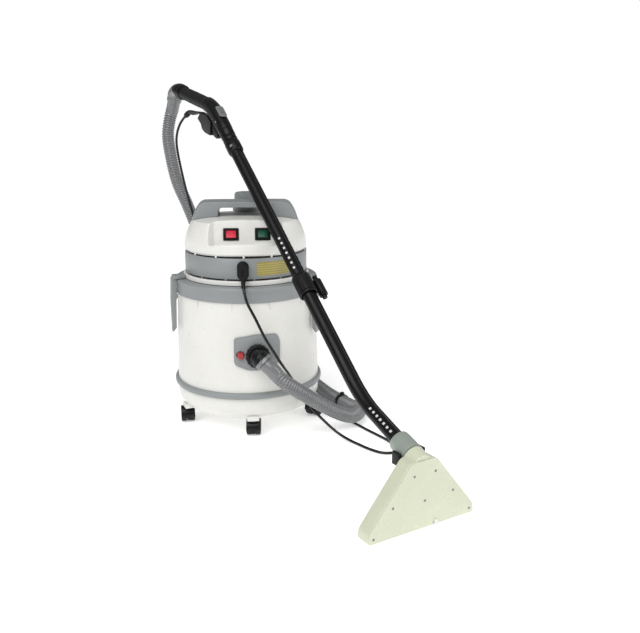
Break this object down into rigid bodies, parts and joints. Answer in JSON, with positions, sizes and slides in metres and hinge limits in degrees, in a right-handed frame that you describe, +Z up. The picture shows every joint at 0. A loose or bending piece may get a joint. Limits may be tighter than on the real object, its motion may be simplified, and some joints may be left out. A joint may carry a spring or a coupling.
{
  "type": "spot extractor",
  "caption": "Spray-extraction cleaner: drum on casters, motor head, corrugated suction hose, thin solution line and a floor wand leaning on the head.",
  "frame": {"origin": "bottom centre of the outline of everything but the free hose and solution line, on the floor", "axes": "+Z up, -Y the front that carries the switches and the hose inlet, +X to the right seen from the front"},
  "size_m": [0.7989, 1.1346, 0.8917],
  "materials": {
    "white_plastic": "satin",
    "grey_plastic": "satin",
    "black_plastic": "satin",
    "dark_grey_plastic": "satin",
    "silver_hose": "metallic grey plastic",
    "black_line": "satin",
    "cream_plastic": "satin",
    "grey_green_plastic": "satin",
    "label_stock": "plain printed colour, no text",
    "red_lens": "glossy",
    "green_lens": "glossy",
    "red_plastic": "satin",
    "caster_tread": "hard rubber",
    "cast_aluminium": "machined",
    "motor_steel": "pressed"
  },
  "bodies": {
    "machine": {"drum": "white_plastic", "bumper_band": "grey_plastic", "rim_ring": "grey_plastic", "inlet_plate": "grey_plastic", "inlet_socket": "black_plastic", "hose_elbow": "black_plastic", "latch_mount_left": "grey_plastic", "latch_mount_right": "grey_plastic", "head_lid": "white_plastic", "head_band": "grey_plastic", "head_cap": "white_plastic", "carry_handle": "grey_plastic", "switch_bezel_vacuum": "black_plastic", "switch_bezel_pump": "black_plastic", "line_elbow": "black_plastic", "label_panel": "label_stock", "mains_gland": "black_plastic", "vacuum_motor": "motor_steel", "solution_pump": "black_plastic", "pickup_tube": "white_plastic", "float_cage": "white_plastic", "solution_tank": "white_plastic", "suction_hose": "silver_hose", "solution_line": "black_line"},
    "caster_1": {"caster_hood_1": "black_plastic"},
    "wheels_1": {"caster_wheels_1": "caster_tread"},
    "caster_2": {"caster_hood_2": "black_plastic"},
    "wheels_2": {"caster_wheels_2": "caster_tread"},
    "caster_3": {"caster_hood_3": "black_plastic"},
    "wheels_3": {"caster_wheels_3": "caster_tread"},
    "caster_4": {"caster_hood_4": "black_plastic"},
    "wheels_4": {"caster_wheels_4": "caster_tread"},
    "caster_5": {"caster_hood_5": "black_plastic"},
    "wheels_5": {"caster_wheels_5": "caster_tread"},
    "button": {"inlet_button": "red_plastic"},
    "cuff": {"cuff_nut": "black_plastic"},
    "latch_left": {"latch_lever_left": "grey_plastic"},
    "latch_right": {"latch_lever_right": "grey_plastic"},
    "switch_vacuum": {"switch_rocker_vacuum": "red_lens"},
    "switch_pump": {"switch_rocker_pump": "green_lens"},
    "filler": {"filler_cap": "grey_plastic"},
    "fan": {"impeller": "cast_aluminium"},
    "float": {"float_ball": "red_plastic"},
    "wand": {"tool_body": "cream_plastic", "tool_cover": "cream_plastic", "tool_collar": "grey_green_plastic", "jet_yoke": "black_plastic", "spray_jet": "white_plastic", "lower_tube": "black_plastic", "solution_coupler": "black_plastic", "upper_tube": "black_plastic", "handle_sleeve": "black_plastic", "handle_body": "black_plastic", "valve_body": "black_plastic", "grip": "black_plastic", "end_cuff": "black_plastic", "line_connector": "black_plastic"},
    "coupling": {"coupling_nut": "black_plastic"},
    "slider": {"thumb_slider": "dark_grey_plastic"},
    "trigger": {"trigger": "dark_grey_plastic"}
  },
  "joints": [
    {"name": "caster_swivel_1", "type": "hinge", "parent": "machine", "child": "caster_1", "pos_m": [-0.10291, -0.01502, 0.045], "axis": [0, 0, 1], "continuous": true},
    {"name": "wheel_spin_1", "type": "hinge", "parent": "caster_1", "child": "wheels_1", "pos_m": [-0.10291, -0.00102, 0.02], "axis": [-1, 0, 0], "continuous": true},
    {"name": "caster_swivel_2", "type": "hinge", "parent": "machine", "child": "caster_2", "pos_m": [0.04592, 0.1287, 0.045], "axis": [0, 0, 1], "continuous": true},
    {"name": "wheel_spin_2", "type": "hinge", "parent": "caster_2", "child": "wheels_2", "pos_m": [0.05292, 0.14083, 0.02], "axis": [-0.866, 0.5, 0], "continuous": true},
    {"name": "caster_swivel_3", "type": "hinge", "parent": "machine", "child": "caster_3", "pos_m": [-0.04478, 0.31466, 0.045], "axis": [0, 0, 1], "continuous": true},
    {"name": "wheel_spin_3", "type": "hinge", "parent": "caster_3", "child": "wheels_3", "pos_m": [-0.03099, 0.3171, 0.02], "axis": [-0.1736, 0.9848, 0], "continuous": true},
    {"name": "caster_swivel_4", "type": "hinge", "parent": "machine", "child": "caster_4", "pos_m": [-0.24967, 0.28587, 0.045], "axis": [0, 0, 1], "continuous": true},
    {"name": "wheel_spin_4", "type": "hinge", "parent": "caster_4", "child": "wheels_4", "pos_m": [-0.26236, 0.29179, 0.02], "axis": [-0.4226, -0.9063, 0], "continuous": true},
    {"name": "caster_swivel_5", "type": "hinge", "parent": "machine", "child": "caster_5", "pos_m": [-0.28559, 0.08211, 0.045], "axis": [0, 0, 1], "continuous": true},
    {"name": "wheel_spin_5", "type": "hinge", "parent": "caster_5", "child": "wheels_5", "pos_m": [-0.28851, 0.09581, 0.02], "axis": [-0.9781, -0.2079, 0], "continuous": true},
    {"name": "inlet_button_press", "type": "slide", "parent": "machine", "child": "button", "axis": [-0.2079, 0.9781, 0], "range_m": [0, 0.004], "stiffness_N_per_m": 400},
    {"name": "cuff_nut_turn", "type": "hinge", "parent": "machine", "child": "cuff", "pos_m": [-0.08478, -0.04125, 0.222], "axis": [0.2079, -0.9781, 0], "continuous": true},
    {"name": "latch_left_swing", "type": "hinge", "parent": "machine", "child": "latch_left", "pos_m": [-0.30877, 0.09326, 0.397], "axis": [-0.342, 0.9397, 0], "range_deg": [0, 110]},
    {"name": "latch_right_swing", "type": "hinge", "parent": "machine", "child": "latch_right", "pos_m": [0.05154, 0.08697, 0.397], "axis": [-0.3746, -0.9272, 0], "range_deg": [0, 110]},
    {"name": "switch_vacuum_rock", "type": "hinge", "parent": "machine", "child": "switch_vacuum", "pos_m": [-0.15362, 0.04677, 0.51354], "axis": [0.9976, 0.0698, 0], "range_deg": [0, 20]},
    {"name": "switch_pump_rock", "type": "hinge", "parent": "machine", "child": "switch_pump", "pos_m": [-0.07482, 0.05229, 0.51354], "axis": [0.9976, 0.0698, 0], "range_deg": [0, 20]},
    {"name": "filler_cap_turn", "type": "hinge", "parent": "machine", "child": "filler", "pos_m": [-0.13085, 0.23722, 0.575], "axis": [0, 0, 1], "range_deg": [0, 90]},
    {"name": "impeller_spin", "type": "hinge", "parent": "machine", "child": "fan", "pos_m": [-0.12741, 0.15927, 0.412], "axis": [0, 0, 1], "continuous": true},
    {"name": "float_rise", "type": "slide", "parent": "machine", "child": "float", "axis": [0, 0, 1], "range_m": [0, 0.041]},
    {"name": "wand_tilt", "type": "hinge", "parent": "machine", "child": "wand", "pos_m": [0.27489, -0.4886, 0], "axis": [0.848, 0.5299, 0], "range_deg": [0, 15]},
    {"name": "coupling_nut_turn", "type": "hinge", "parent": "wand", "child": "coupling", "pos_m": [0.03226, -0.10031, 0.41424], "axis": [-0.4022, 0.6437, 0.651], "range_deg": [0, 90]},
    {"name": "thumb_slider_slide", "type": "slide", "parent": "wand", "child": "slider", "axis": [-0.4022, 0.6437, 0.651], "range_m": [0, 0.015]},
    {"name": "trigger_squeeze", "type": "hinge", "parent": "wand", "child": "trigger", "pos_m": [-0.23436, 0.32638, 0.772], "axis": [0.848, 0.5299, 0], "range_deg": [0, 6], "stiffness_Nm_per_rad": 2, "springref_deg": -2.86}
  ]
}
